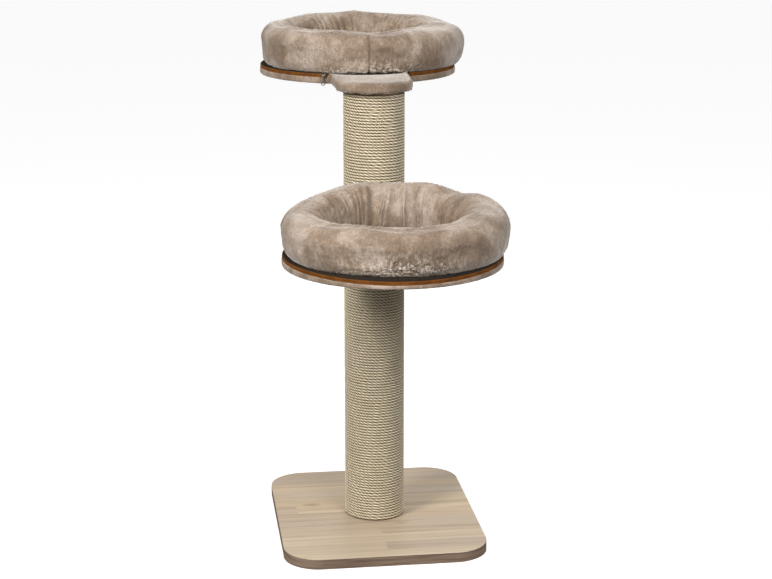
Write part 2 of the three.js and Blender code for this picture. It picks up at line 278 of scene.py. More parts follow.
def backdrop():
    """A round floor with a wall round it, far away."""
    angles = np.linspace(0, 2 * math.pi, FLOOR_SIDES, endpoint=False)
    rim = [(FLOOR_RADIUS * math.cos(a), FLOOR_RADIUS * math.sin(a)) for a in angles]
    spots = [(x, y, z) for z in (-FLOOR_DROP, WALL_HEIGHT) for x, y in rim]
    low = list(range(FLOOR_SIDES))
    beside = low[1:] + low[:1]
    wall = [(i, j, j + FLOOR_SIDES, i + FLOOR_SIDES) for i, j in zip(low, beside)]
    mesh = bpy.data.meshes.new("backdrop")
    mesh.from_pydata(spots, [], [low, *wall])
    pale, black = (0.55, 0.55, 0.55, 1), (0, 0, 0, 1)
    floor = Finish("floor_white", Base_Color=pale, Roughness=0.9, Emission_Strength=0.66)
    far = Finish("wall_white", Base_Color=black, Roughness=1, Emission_Strength=0.93)
    for finish in (floor, far):
        mesh.materials.append(finish.material)
    for face in mesh.polygons[1:]:
        face.material_index = 1
    made = bpy.data.objects.new("backdrop", mesh)
    made.visible_diffuse = False
    made.visible_glossy = False
    made.visible_shadow = False
    scene.collection.objects.link(made)
    print("backdrop", len(mesh.polygons), "faces")


room()
backdrop()

# %% [markdown]
# ## Plush
#
# Short plush is a dense pile of fibres that lean one way. Brushed with the nap it is smooth and pale,
# and against it dark, so a used cushion shows soft patches. The pile's tips catch light at grazing
# angles, which is what Sheen does. The patches are slow noise, the fibres fast noise drawn out
# downwards. Two values stored on a piece say the rest: `crease` paints shade into the valleys of its
# gathers and its seam, and `ruffle` puts a painted highlight on tufts of pile pushed the wrong way.

# %% Plush finish
def plush_finish():
    finish = Finish(
        "plush_taupe",
        Roughness=0.92,
        Sheen_Weight=0.6,
        Sheen_Roughness=0.38,
        Sheen_Tint=(1.0, 0.96, 0.92, 1),
        Specular_IOR_Level=0.15,
    )
    place = finish.place
    patches = place.noise(8.5, 3, 0.5, 0.8) * 0.65 + place.noise(26, 2, 0.5, 0.4) * 0.35
    fibres = place.scaled(1, 1, 0.45).noise(430, 3, 0.7)
    clumps = place.scaled(1, 1, 0.55).noise(140, 3, 0.65)
    nap = (patches * 0.84 + fibres * 0.34 + clumps * 0.22 - 0.20).clamped(0.32, 0.68)
    stops = [
        (0.0, (0.165, 0.115, 0.079)),
        (0.45, (0.262, 0.193, 0.139)),
        (1.0, (0.44, 0.362, 0.3)),
    ]
    colour = ramp(nap, stops)
    # Painted highlight: pale tufts where the pile is ruffled, at the places listed in RUFFLES.
    tuft_highlight = finish.attribute("ruffle") * clumps.clamped(0.47, 0.60)
    colour = mixed(tuft_highlight * 0.75, colour, (0.7, 0.63, 0.56))
    # Painted shade: darker in the valleys of the gathers and along the seam.
    crease = finish.attribute("crease").clamped(0.15, 1.0)
    colour = mixed(crease * 0.85, colour, (0.085, 0.055, 0.036))
    return finish.wear(colour, relief=fibres * 0.6 + clumps, depth=2.0 * MM, strength=0.8)


PLUSH = plush_finish()

# %% [markdown]
# ## Sisal
#
# Sisal is a dry, pale straw fibre. The rope carries two values from its own geometry: `fibre`, a
# point that follows the twist of the strands, and `crown`, 1 on top of a strand and -1 between two.
# Noise read at `fibre` draws threads along the twist, however the rope bends. Shade is painted
# between two strands, where `crown` is low, and between two turns, where the surface faces up or down.

# %% Sisal finish
def sisal_finish():
    finish = Finish("sisal", Roughness=0.88, Specular_IOR_Level=0.25, Sheen_Weight=0.12)
    fibre = finish.attribute("fibre", "Vector")
    threads = fibre.scaled(2.2, 2.2, 60).noise(2.4, 3, 0.6)
    length = fibre.scaled(0.4, 0.4, 7).noise(1.0, 2)
    tone = (threads * 0.7 + length * 0.3).clamped(0.28, 0.72)
    straw = mixed(tone, (0.68, 0.58, 0.395), (0.96, 0.905, 0.73))
    # Painted shade: darker between two strands, where crown is low.
    strand_gap_shade = finish.attribute("crown").clamped(0.55, -0.45)
    colour = mixed(strand_gap_shade * 0.75, straw, (0.25, 0.17, 0.085))
    # Painted shade: darker in the gaps between two turns, where the surface faces up or down.
    between = finish.facing("Z").size().clamped(0.5, 0.95)
    colour = mixed(between * 0.8, colour, (0.19, 0.13, 0.065))
    return finish.wear(colour, relief=threads, depth=0.5 * MM, strength=0.7)


SISAL = sisal_finish()

# %% [markdown]
# ## Boards, paper and metal
#
# The base is a board of glued hardwood staves in slightly different tones, with the grain along X and
# a few small knots. Its edge shows the darker, raw side of the staves. Plywood shows its layers on the
# edge. The other finishes belong to pieces inside the post: kraft paper tube, galvanised steel.

# %% Wood, card and metal finishes
def stave_finish():
    finish = Finish("wood_staves", Roughness=0.52, Specular_IOR_Level=0.35)
    place = finish.place
    sizes = {"Scale": 1.0, "Mortar Size": 0.0, "Brick Width": 0.74, "Row Height": 0.052}
    ends = {"Color1": (0, 0, 0, 1), "Color2": (1, 1, 1, 1), "Bias": 0.0}
    settings = {"offset": 0.37, "offset_frequency": 2, "squash": 0.72, "squash_frequency": 3}
    stave = place.add("ShaderNodeTexBrick", settings, {"Vector": place, **sizes, **ends})
    stops = [
        (0.0, (0.5, 0.385, 0.258)),
        (0.3, (0.56, 0.44, 0.3)),
        (0.55, (0.44, 0.345, 0.258)),
        (0.8, (0.545, 0.44, 0.318)),
        (1.0, (0.4, 0.315, 0.24)),
    ]
    own = place.shifted(stave)  # each stave is cut from another place, so its grain is its own
    grain = own.scaled(1.5, 75, 20).noise(1.0, 6, 0.65, 0.5)
    pores = own.scaled(14, 700, 300).noise(1.0, 2, 0.5)
    dark = grain.clamped(0.44, 0.70) * 0.55 + pores.clamped(0.52, 0.74) * 0.25
    colour = mixed(dark, ramp(stave, stops), (0.3, 0.205, 0.125))
    cells = {"Vector": place.scaled(4.6, 10.5, 10.5), "Scale": 1.0, "Randomness": 1.0}
    nearest = place.add("ShaderNodeTexVoronoi", None, cells)
    knot = nearest.clamped(0.16, 0.03) * place.noise(6.1, 0).clamped(0.50, 0.60)
    colour = mixed(knot * 0.5, colour, (0.23, 0.13, 0.07))
    streaks = place.scaled(7, 7, 150).noise(1.0, 4, 0.6)
    raw = mixed(streaks.clamped(0.3, 0.7), (0.15, 0.098, 0.068), (0.29, 0.205, 0.145))
    colour = mixed(finish.side(), colour, raw)
    roughness, relief = pores * 0.18 + 0.42, grain * 0.4 + pores
    return finish.wear(colour, roughness, relief=relief, depth=0.25 * MM, strength=0.4)


VENEER = 1.6 * MM


def ply_finish():
    finish = Finish("plywood", Roughness=0.7)
    place = finish.place
    face = place.scaled(3, 60, 60).noise(1.0, 4, 0.6, 0.4).clamped(0.3, 0.75)
    colour = mixed(face, (0.64, 0.47, 0.29), (0.5, 0.34, 0.19))
    height = place.axis("Z")
    layer = height.maths("PINGPONG", height * (1 / VENEER), 1.0)
    layers = mixed(layer.clamped(0.4, 0.6), (0.33, 0.2, 0.1), (0.62, 0.45, 0.27))
    colour = mixed(finish.side(), colour, layers)
    return finish.wear(colour, relief=face, depth=0.2 * MM, strength=0.4)


def card_finish():
    finish = Finish("kraft_card", Roughness=0.85)
    place = finish.place
    flecks = place.scaled(1, 1, 3).noise(160, 3, 0.7)
    wound = place.scaled(12, 12, 36).noise(1.0, 1)
    colour = mixed(flecks * 0.5 + wound * 0.5, (0.3, 0.19, 0.1), (0.47, 0.33, 0.2))
    return finish.wear(colour, relief=flecks, depth=0.2 * MM, strength=0.5)


def steel_finish(name, colour):
    finish = Finish(name, Metallic=1.0)
    place = finish.place
    cloud = place.noise(90, 3, 0.6)
    scratches = place.scaled(1, 9, 1).noise(700, 2, 0.5)
    dull = tuple(0.72 * c for c in colour)
    tint = mixed(cloud.clamped(0.3, 0.75), colour, dull)
    uneven = cloud * 0.16 + scratches * 0.12 + 0.28
    return finish.wear(tint, uneven, relief=scratches, depth=0.05 * MM, strength=0.3)


def tape_finish():
    """Woven tape: fine ribs up its height, crossed by slower changes of dye."""
    finish = Finish("zip_tape_brown", Roughness=0.7, Specular_IOR_Level=0.2)
    place = finish.place
    weave = place.scaled(1, 1, 3).noise(900, 2, 0.6)
    dye = place.noise(45, 2)
    tone = (weave * 0.55 + dye * 0.45).clamped(0.3, 0.7)
    colour = mixed(tone, (0.08, 0.024, 0.002), (0.235, 0.078, 0.008))
    return finish.wear(colour, relief=weave, depth=0.3 * MM, strength=0.6)


STAVES = stave_finish()
PLY = ply_finish()
CARD = card_finish()
ZINC = steel_finish("zinc_steel", (0.62, 0.63, 0.64))
NICKEL = steel_finish("zip_nickel", (0.24, 0.22, 0.19))
TAPE = tape_finish()
print("finishes", len(bpy.data.materials))

# %% [markdown]
# ## Hard pieces of the frame
#
# Boards, tubes, plugs, inserts, bolts, the zip sliders and pulls already have the right shape. Each
# only needs its finish and edges that aren't razor sharp: Weld joins the loose triangles, and Bevel
# rounds what is sharper than 35 degrees.

# %% Dress the hard pieces
SHARP = math.radians(35)


def dress(node, material, edge, segments=2):
    """Gives a node of the frame its finish and rounds its sharp edges by this much."""
    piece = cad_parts[node]
    piece.data.materials.clear()
    piece.data.materials.append(material)
    piece.modifiers.new("weld", "WELD").merge_threshold = 0.01 * MM
    bevel = piece.modifiers.new("soft_edges", "BEVEL")
    bevel.width = edge
    bevel.segments = segments
    bevel.angle_limit = SHARP
    bevel.harden_normals = True
    print(node, material.name)


POSTS = ("lower_post", "upper_post")
BEDS = ("lower", "upper")

dress("base_board", STAVES, 1.6 * MM, 3)
for post in POSTS:
    dress(f"{post}_tube", CARD, 0.3 * MM)
    for end in ("top", "bottom"):
        dress(f"{post}_{end}_plug", PLY, 0.5 * MM)
        dress(f"{post}_{end}_insert", ZINC, 0.25 * MM)
for node in ("base_bolt", "base_washer", "post_stud", "top_bolt", "top_washer"):
    dress(node, ZINC, 0.3 * MM)
for bed in BEDS:
    dress(f"{bed}_bed_board", PLY, 0.8 * MM)
    dress(f"{bed}_zip_slider", NICKEL, 0.5 * MM, 3)
    dress(f"{bed}_zip_pull", NICKEL, 0.35 * MM, 3)

# %% [markdown]
# ## Growing pieces with Geometry Nodes
#
# A rope wrap, zip teeth and pile all repeat by a rule, so a node tree makes them. `start_tree` gives a
# tree with named inputs. `grown` runs it once on an empty or a given mesh and keeps the result as a
# plain mesh, so nothing is left to be worked out later.

# %% Tree helpers
def start_tree(name, sockets):
    """A Geometry Nodes tree, and a wire from each of its named inputs."""
    tree = bpy.data.node_groups.new(name, "GeometryNodeTree")
    kinds = {"Geometry": "NodeSocketGeometry", "Material": "NodeSocketMaterial"}
    for label in ("Geometry", *sockets):
        kind = kinds.get(label, "NodeSocketFloat")
        tree.interface.new_socket(label, in_out="INPUT", socket_type=kind)
    tree.interface.new_socket("Geometry", in_out="OUTPUT", socket_type="NodeSocketGeometry")
    entry = tree.nodes.new("NodeGroupInput")
    return tree, {label: Wire(tree, entry.outputs[label]) for label in ("Geometry", *sockets)}


def end_tree(tree, geometry, material):
    """Realizes what the tree made and gives it its finish."""
    real = geometry.add("GeometryNodeRealizeInstances", None, {0: geometry})
    worn = real.add("GeometryNodeSetMaterial", None, {"Geometry": real, "Material": material})
    tree.links.new(worn.socket, tree.nodes.new("NodeGroupOutput").inputs[0])


def new_piece(name, mesh):
    """An object at the origin that shows a mesh."""
    piece = bpy.data.objects.new(name, mesh)
    scene.collection.objects.link(piece)
    return piece


def baked(piece):
    """The piece's mesh with its modifiers worked out, as a plain mesh."""
    graph = bpy.context.evaluated_depsgraph_get()
    return bpy.data.meshes.new_from_object(
        piece.evaluated_get(graph), preserve_all_data_layers=True, depsgraph=graph
    )


def grown(name, tree, values, start=None):
    """Runs a tree with these values and gives a piece that holds the plain result."""
    seed = new_piece(name + "_seed", start or bpy.data.meshes.new(name + "_seed"))
    modifier = seed.modifiers.new("grow", "NODES")
    modifier.node_group = tree
    for item in tree.interface.items_tree:
        if item.in_out == "INPUT" and item.name in values:
            modifier[item.identifier] = values[item.name]
    mesh = baked(seed)
    bpy.data.objects.remove(seed)
    mesh.name = name
    mesh.shade_smooth()
    print(name, len(mesh.polygons), "faces")
    return new_piece(name, mesh)


# %% [markdown]
# ## The sisal wraps
#
# One rope is wound tightly up each post. It is a helix whose pitch is the rope's own diameter, swept
# with a section of three lobes. The section turns as it goes, once in every lay, and the three lobes
# become three twisted strands. Hand-wound rope is never quite even, so slow noise nudges its line.
# A long wrap is made in lengths, which is also how it is wound.

# %% Rope tree
STRANDS = 3
SECTION_POINTS = 9
STEPS_PER_TURN = 171
PRESSED = 1.01  # turns touch, so a turn is a little wider than its share of the post


def rope_tree():
    sockets = ("Radius", "Bottom", "Height", "Turns", "Thickness", "Lay", "Unevenness", "Material")
    tree, given = start_tree("wound_rope", sockets)
    wire = given["Radius"]
    winding = {"Resolution": STEPS_PER_TURN, "Rotations": given["Turns"], "Height": given["Height"]}
    winding.update({"Start Radius": given["Radius"], "End Radius": given["Radius"]})
    line = wire.add("GeometryNodeCurveSpiral", None, winding)
    place = wire.add("GeometryNodeInputPosition")
    drift = wire.add("ShaderNodeTexNoise", None, {"Vector": place, "Scale": 14.0}, 1)
    nudge = drift.shifted((-0.5, -0.5, -0.5)).stretched(given["Unevenness"])
    lift = wire.add("ShaderNodeCombineXYZ", None, {"Z": given["Bottom"]})
    offset = {"Geometry": line, "Offset": nudge.shifted(lift)}
    line = line.add("GeometryNodeSetPosition", None, offset)
    line = line.add("GeometryNodeSetCurveNormal", {"mode": "Z_UP"}, {0: line})
    along = wire.add("GeometryNodeSplineParameter", output="Length")
    lays = along.maths("DIVIDE", along, given["Lay"])
    slack = place.noise(16, 1) * 9  # uneven twist, in radians
    tilt = {0: line, "Tilt": lays * (2 * math.pi) + slack}
    line = line.add("GeometryNodeSetCurveTilt", None, tilt)

    circle = {"Resolution": SECTION_POINTS, "Radius": given["Thickness"] * (PRESSED / 2)}
    section = wire.add("GeometryNodeCurvePrimitiveCircle", None, circle)
    angle = wire.add("GeometryNodeInputIndex") * (2 * math.pi / SECTION_POINTS)
    crown = angle.maths("COSINE", angle * STRANDS)
    lobes = {"Geometry": section, "Position": place.stretched(crown * 0.12 + 0.93)}
    section = section.add("GeometryNodeSetPosition", None, lobes)
    section = stored(section, "crown", "FLOAT", crown)
    section = stored(section, "turn_x", "FLOAT", angle.maths("COSINE", angle))
    section = stored(section, "turn_y", "FLOAT", angle.maths("SINE", angle))
    line = stored(line, "run", "FLOAT", along)
    swept = {"Curve": line, "Profile Curve": section, "Fill Caps": True}
    rope = line.add("GeometryNodeCurveToMesh", None, swept)
    parts = {axis: read(wire, name) for axis, name in zip("XYZ", ("turn_x", "turn_y", "run"))}
    rope = stored(rope, "fibre", "FLOAT_VECTOR", wire.add("ShaderNodeCombineXYZ", None, parts))
    end_tree(tree, rope, given["Material"])
    return tree


def stored(geometry, name, kind, value):
    """Keeps a value on the points of a curve or mesh under a name."""
    settings = {"data_type": kind, "domain": "POINT"}
    inputs = {"Geometry": geometry, "Name": name, "Value": value}
    return geometry.add("GeometryNodeStoreNamedAttribute", settings, inputs)


def read(wire, name):
    return wire.add("GeometryNodeInputNamedAttribute", {"data_type": "FLOAT"}, {"Name": name})


ROPE = rope_tree()

# %% Wind the posts
LAY = 32 * MM  # of rope, for one whole twist
LOOSE = 0.3 * MM  # between the tube and the rope
LONGEST_WRAP = 0.4  # of post, in one piece


def wind(post):
    """Winds a post's sleeve from its bottom to its top, and gives the rope's length in metres."""
    low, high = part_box(f"{post}_sisal")
    tube_low, tube_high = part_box(f"{post}_tube")
    outer = (high.x - low.x) / 2
    thickness = outer - (tube_high.x - tube_low.x) / 2 - LOOSE
    radius = outer - thickness / 2
    rise = high.z - low.z - thickness
    turns = rise / thickness
    lengths = math.ceil(rise / LONGEST_WRAP)
    whole = math.floor(turns / lengths)  # a length ends where the next begins, after whole turns
    for i in range(lengths):
        here = whole if i < lengths - 1 else turns - i * whole
        values = {
            "Radius": radius,
            "Bottom": low.z + (i * whole + 0.5) * thickness,
            "Height": here * thickness,
            "Turns": here,
            "Thickness": thickness,
            "Lay": LAY,
            "Unevenness": 0.7 * MM,
            "Material": SISAL,
        }
        piece = grown(f"{post}_rope_{i + 1}", ROPE, values)
        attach(piece, "stand")
        if i == 0:
            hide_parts(f"{post}_sisal")
    return turns * math.hypot(2 * math.pi * radius, thickness)


for post in POSTS:
    print(post, "rope", round(wind(post), 1), "m")

# %% [markdown]
# ## Pile on plush
#
# The material draws single fibres, but tufts are big enough to have a shape: on the outline of a
# cushion they make it soft. This tree moves each point of a fine mesh along its normal by noise that
# is drawn out downwards, as the pile lies. A slow mask ruffles some places more than others, and a
# value `ruffle` on the mesh raises ridges where the pile is pushed the wrong way.

# %% Pile tree
def pile_tree():
    tree, given = start_tree("pile", ("Depth", "Tuft", "Ruffle", "Material"))
    wire = given["Depth"]
    place = wire.add("GeometryNodeInputPosition")
    drawn = place.scaled(1, 1, 0.5)
    tufts = drawn.noise(wire.maths("DIVIDE", 1.0, given["Tuft"]), 2, 0.6)
    fine = drawn.noise(wire.maths("DIVIDE", 2.6, given["Tuft"]), 1)
    ruffled = place.noise(16, 2).clamped(0.5, 0.66) * given["Ruffle"] + 0.6
    ridges = place.scaled(1, 1, 2).noise(70, 3, 0.65, 1.2).clamped(0.46, 0.56)
    height = (tufts - 0.5) * ruffled + (fine - 0.5) * 0.5 + (ridges - 0.4) * read(wire, "ruffle")
    normal = wire.add("GeometryNodeInputNormal")
    push = {"Geometry": given["Geometry"], "Offset": normal.stretched(height * given["Depth"] * 2.0)}
    end_tree(tree, wire.add("GeometryNodeSetPosition", None, push), given["Material"])
    return tree


PILE = pile_tree()

# %% [markdown]
# ## Surfaces from grids
#
# A ring, a pad and a cover are each a grid of points bent into shape: rows along one direction,
# columns along the other, always closed on itself. `grid_mesh` joins neighbours into quads, and can
# close the rows as well or fill the first and last row with a fan. `around` makes such a grid from a
# section that goes round an upright line.

# %% Grid helper
def grid_mesh(name, points, close_rows=False, caps=(False, False)):
    """points is rows x columns x 3. caps fill the first and last row with a fan of triangles."""
    rows, columns = points.shape[:2]
    index = np.arange(rows * columns).reshape(rows, columns)
    a = index if close_rows else index[:-1]
    b = np.roll(index, -1, axis=0) if close_rows else index[1:]
    quads = np.stack([a, np.roll(a, -1, axis=1), np.roll(b, -1, axis=1), b], axis=-1)
    faces = quads.reshape(-1, 4).tolist()
    spots = points.reshape(-1, 3)
    for cap, row, order in ((caps[0], index[0], 1), (caps[1], index[-1], -1)):
        if cap:
            centre = len(spots)
            spots = np.vstack([spots, points.reshape(-1, 3)[row].mean(axis=0)])
            pairs = zip(row, np.roll(row, -1))
            faces += [(centre, int(q), int(p))[::order] for p, q in pairs]
    mesh = bpy.data.meshes.new(name)
    mesh.from_pydata(spots.tolist(), [], faces)
    mesh.shade_smooth()
    return mesh


def around(section, angle, centre):
    """A section's (radius, height) points at each angle round an upright line: points x angles."""
    radius, height = np.array(section).T[:, :, None]
    x, y = centre[0] + radius * np.cos(angle), centre[1] + radius * np.sin(angle)
    return np.stack([x, y, height + 0 * angle], axis=-1)


def full_turn(count):
    return np.linspace(0, 2 * math.pi, count, endpoint=False)


def merged(mesh, distance):
    """Joins points that coincide, which also removes faces with no width, and turns faces outwards."""
    work = bmesh.new()
    work.from_mesh(mesh)
    bmesh.ops.remove_doubles(work, verts=work.verts, dist=distance)
    bmesh.ops.recalc_face_normals(work, faces=work.faces)
    work.to_mesh(mesh)
    work.free()
    return mesh


def closed(name, points):
    """A mesh from a grid whose first and last row are filled."""
    return merged(grid_mesh(name, points, caps=(True, True)), 0.001 * MM)


# %% [markdown]
# ## The nest rings
#
# A nest's rim is a tube of plush stuffed with fibre and bent into a ring. The tube's outer wall is
# smooth. Its inner wall is the shorter way round, so the same cloth is gathered there into pleats that
# run from the crest down to the floor. The tube closes in one seam, which faces the post.
#
# The ring is a grid: angle round the ring, and angle round the tube's section. Gathers, lumps and the
# seam are sums on those two angles. A short cloth simulation then blows the skin up a little, so that
# it is tight between its creases, and the pile goes on last.

# %% Waves and gathers
def apart(angle, place):
    """How far an angle lies from a place, the short way round."""
    return np.mod(angle - place + math.pi, 2 * math.pi) - math.pi


def hump(angle, place, spread):
    """1 at a place and less away from it, for a place and a spread in degrees."""
    return np.exp(-((apart(angle, math.radians(place)) / math.radians(spread)) ** 2))


def waves(angle, rng, orders, size):
    """A smooth random outline round the ring: a few waves that add up to about this size."""
    total = np.zeros_like(angle)
    for order in orders:
        total += np.cos(order * angle + rng.uniform(0, 2 * math.pi)) * rng.uniform(0.4, 1.0)
    return total * size / math.sqrt(len(orders))


def gathers(angle, rng, count):
    """For each angle: how far it lies from the nearest crease (0 to 1), and that crease's depth."""
    widths = rng.uniform(0.5, 1.5, count) ** 2
    edges = np.concatenate([[0], np.cumsum(widths)]) / widths.sum() * 2 * math.pi
    depths = rng.uniform(0.5, 1.0, count)
    turn = np.mod(angle, 2 * math.pi)
    i = np.clip(np.searchsorted(edges, turn, side="right") - 1, 0, count - 1)
    share = (turn - edges[i]) / (edges[i + 1] - edges[i])
    depth = depths[i] * (1 - share) + depths[(i + 1) % count] * share
    return np.sin(math.pi * share) ** 0.55, depth, widths[i] / widths.mean()


# %% Ring shape
ROUND = 400  # points round the ring
ACROSS = 104  # points round its section
GATHERS = 66
PLEAT = 12 * MM
ROOM = 3 * MM  # kept free for the simulation and the pile
UNEVEN = 3 * MM
SEAM_WIDTH, SEAM_DEPTH = 3.2 * MM, 4 * MM
HANG = 14 * MM  # how far the outer wall comes down over the zip


def power(value, fullness):
    """Bends a circle's sine or cosine towards a square's: 2 is a circle, and more is fuller."""
    return np.sign(value) * np.abs(value) ** (2 / fullness)


def ring_points(bed, seed):
    """The points of a ring, and at each how deep its crease is and how ruffled its pile."""
    low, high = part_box(f"{bed}_nest_bolster")
    pad_low, pad_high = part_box(f"{bed}_nest_floor_pad")
    centre = (low + high) / 2
    outer = (high.x - low.x) / 2
    inner = (pad_high.x - pad_low.x) / 2 + 1.5 * MM
    middle, half_width, half_height = (outer + inner) / 2, (outer - inner) / 2, (high.z - low.z) / 2
    rng = np.random.default_rng(seed)
    seam = math.atan2(-centre.y, -centre.x)

    turn = full_turn(ROUND)[:, None] + np.zeros(ACROSS)
    tilt = np.linspace(-math.pi, math.pi, ACROSS, endpoint=False) + np.zeros((ROUND, 1))
    angle = turn + seam
    inside = np.clip(-np.cos(tilt) * 1.5 + 0.28, 0, 1) ** 1.1
    drop = np.clip(0.5 - 0.5 * np.sin(tilt), 0, 1)  # 0 at the crest, 1 at the bottom
    lean = waves(angle, rng, (2, 3, 5, 9), 0.20)
    hill, depth, width = gathers(turn + lean * drop * inside, rng, GATHERS)
    shallow = 0.35 * (1 - depth)
    reach = np.clip((inside - shallow) / (1 - shallow), 0, 1)
    pleat = (hill * (0.5 + 0.5 * width) - 0.62) * PLEAT * depth * reach
    # How deep each valley is: it pins the skin, and the plush paints shade there.
    crease = (1 - hill) ** 1.5 * depth * reach

    above = np.sin(tilt) > 0
    fullness = np.where(above, 2.15, np.where(np.cos(tilt) > 0, 2.7, 5.0))
    wide = half_width - ROOM + waves(angle, rng, (2, 3, 4, 7), UNEVEN)
    tall = half_height - ROOM + waves(angle, rng, (2, 3, 5, 8), UNEVEN) * above
    for where, spread, rise, swell in LUMPS[bed]:
        share = hump(angle, where, spread)
        tall = tall + rise * MM * share * above
        wide = wide + swell * MM * share
    sewn = np.exp(-((apart(turn, 0) * middle / SEAM_WIDTH) ** 2)) * np.clip(1.1 - inside, 0.3, 1)
    radius = middle + (wide - sewn * SEAM_DEPTH) * power(np.cos(tilt), fullness) + pleat
    height = centre.z + (tall - sewn * SEAM_DEPTH) * power(np.sin(tilt), fullness)
    hang = np.clip((radius - middle) / (30 * MM) - 0.3, 0, 1) * np.clip(drop * 3 - 1.8, 0, 1)
    height = np.maximum(height - HANG * hang, low.z)
    x, y = centre.x + radius * np.cos(angle), centre.y + radius * np.sin(angle)
    # Where the pile is pushed the wrong way: it raises pile ridges and gets a painted highlight.
    ruffle = sum(
        hump(angle, where, spread) * hump(tilt, side, reach)
        for where, spread, side, reach in RUFFLES[bed]
    )
    # The seam counts as a crease, so it is pinned and gets painted shade too.
    return np.stack([x, y, height], axis=-1), np.maximum(crease, sewn * 0.75), ruffle


# %% Values and points of a mesh
def keep_value(mesh, name, values):
    """Stores a number for each point of a mesh under a name."""
    store = mesh.attributes.new(name, "FLOAT", "POINT")
    store.data.foreach_set("value", np.asarray(values, np.float32).ravel())


def points_of(mesh):
    spots = np.zeros(len(mesh.vertices) * 3, np.float32)
    mesh.vertices.foreach_get("co", spots)
    return spots.reshape(-1, 3)


def move_points(mesh, spots):
    mesh.vertices.foreach_set("co", spots.astype(np.float32).ravel())


# %% [markdown]
# ## Filling by simulation
#
# Stuffing pushes a skin out wherever nothing holds it. The Cloth modifier does that with pressure: it
# runs for twenty frames without gravity, the points that are sewn down are pinned, and no point may
# move further than a cap, so the cushion keeps its size. The result is kept as the mesh.

# %% Puff a skin
FRAMES = 20
PIN_LEVELS = 10  # how finely the strength of a pin is told apart


def puff(piece, pressure, cap, pins=None):
    """Blows up a closed skin by cloth simulation, and moves no point further than the cap."""
    rest = points_of(piece.data)
    cloth = piece.modifiers.new("cloth", "CLOTH")
    cloth.settings.use_pressure = True
    cloth.settings.uniform_pressure_force = pressure
    cloth.settings.effector_weights.gravity = 0
    if pins is not None:
        group = piece.vertex_groups.new(name="sewn")
        for level in range(1, PIN_LEVELS + 1):
            held = np.flatnonzero(np.round(pins.ravel() * PIN_LEVELS) == level)
            group.add(held.tolist(), level / PIN_LEVELS, "REPLACE")
        cloth.settings.vertex_group_mass = "sewn"
    for number in range(1, FRAMES + 1):
        scene.frame_set(number)
    blown = baked(piece)
    move = points_of(blown) - rest
    far = np.linalg.norm(move, axis=1, keepdims=True)
    move *= np.minimum(1, cap / np.maximum(far, 1e-9))
    piece.modifiers.clear()
    piece.vertex_groups.clear()
    move_points(piece.data, rest + move)
    scene.frame_set(1)
    print(piece.name, "puffed", round(float(far.mean()) / MM, 1), "mm")


def finer_mesh(piece):
    """The piece's mesh after one subdivision. The piece is removed."""
    finer = piece.modifiers.new("finer", "SUBSURF")
    finer.levels = finer.render_levels = 1
    mesh = baked(piece)
    bpy.data.objects.remove(piece)
    return mesh


# %% [markdown]
# ## Two used nests
#
# No two nests settle alike. In `LUMPS` a row says where filling has gathered or sunk: an angle from
# +X and its spread in degrees, then how much higher and wider the ring is there in millimetres. In
# `RUFFLES` a row says where the pile is pushed the wrong way and its tufts get a painted highlight: an
# angle and its spread round the ring, then an angle and its spread round the section. The bottom and
# the creases are pinned as the skin is blown up, the skin is made twice as fine, and the pile tree
# goes over it.

# %% Make the rings
LUMPS = {
    "lower": [(90, 50, 15, 0), (58, 14, 5, 0), (36, 9, -5, 0), (8, 22, 8, 0), (180, 45, -9, -3),
              (0, 60, 0, 8), (-90, 60, -6, 0)],
    "upper": [(86, 11, 5, 0), (90, 45, 5, 0), (180, 60, -5, -5), (0, 60, -2, 19), (-90, 24, -9, 0)],
}
RUFFLES = {"lower": [(-92, 24, -32, 22)], "upper": [(-78, 16, -45, 22), (-108, 10, -50, 16)]}


def plush_piece(bed, name, body, node, mesh, depth, tuft, ruffle, wall=0):
    """Puts pile on a mesh and lets it ride on a bed's body in place of a node of the frame."""
    values = {"Depth": depth * MM, "Tuft": tuft * MM, "Ruffle": ruffle, "Material": PLUSH}
    piece = grown(f"{bed}_{name}", PILE, values, mesh)
    if wall:
        cloth = piece.modifiers.new("cloth", "SOLIDIFY")
        cloth.thickness = wall
        cloth.offset = -1
    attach(piece, f"{bed}_{body}")
    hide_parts(f"{bed}_{node}")
    return piece


def nest_ring(bed, seed):
    points, crease, ruffle = ring_points(bed, seed)
    mesh = grid_mesh(f"{bed}_ring", points, close_rows=True)
    keep_value(mesh, "crease", crease)
    keep_value(mesh, "ruffle", ruffle)
    skin = new_piece(f"{bed}_ring_skin", mesh)
    height = points[..., 2]
    puff(skin, 3.0, 3.5 * MM, np.clip(crease * 1.4 + (height < height.min() + 2 * MM), 0, 1))
    mesh = finer_mesh(skin)
    ring = plush_piece(bed, "nest_ring", "nest", "nest_bolster", mesh, 1.5, 7, 1.6)


for seed, bed in enumerate(BEDS, 11):
    nest_ring(bed, seed)

# %% [markdown]
# ## The board covers
#
# Under each nest lies a plywood board shaped like a keyhole: a round disc with an arm for the post.
# A plush cover is stretched round it. It closes the underside and the rim, and at the arm it goes on
# over the top as far as the nest, where it is a soft, rounded lobe.
#
# The cloth is one grid. Its columns run once round the keyhole. Its rows start at the middle of the
# underside, go out to the edge, up the rim, and in over the arm. Round the disc the last rows have no
# width, so they are merged away. Solidify gives the cloth its thickness, inwards.

